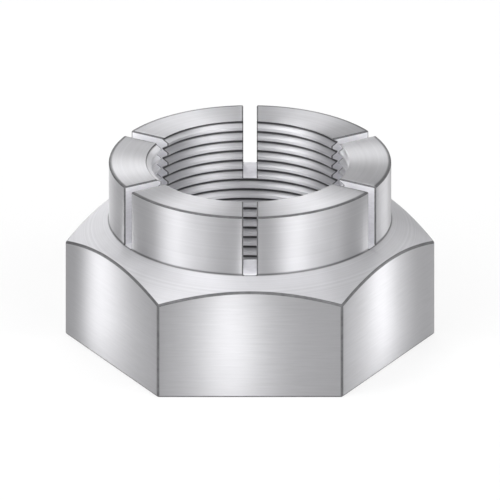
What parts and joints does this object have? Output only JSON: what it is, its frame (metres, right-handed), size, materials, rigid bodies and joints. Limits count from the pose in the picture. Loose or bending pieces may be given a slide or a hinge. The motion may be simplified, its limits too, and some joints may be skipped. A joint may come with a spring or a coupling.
{
  "type": "thin flex lock nut",
  "caption": "Hexagon lock nut with a conical crown and a slotted collar whose springy segments grip the screw, threaded bore and flat bearing face.",
  "frame": {"origin": "centre of the bearing face, on the thread's axis", "axes": "+Z along the thread's axis, from the bearing face to the slotted collar; +X through a corner of the hexagon, so that -Y and +Y each face a flat and the middle of a slot"},
  "size_m": [0.053, 0.046, 0.027],
  "materials": {
    "steel": "turned and milled bare steel, satin, with fine tool lines"
  },
  "bodies": {
    "root": {"lock_nut": "steel"}
  },
  "joints": []
}
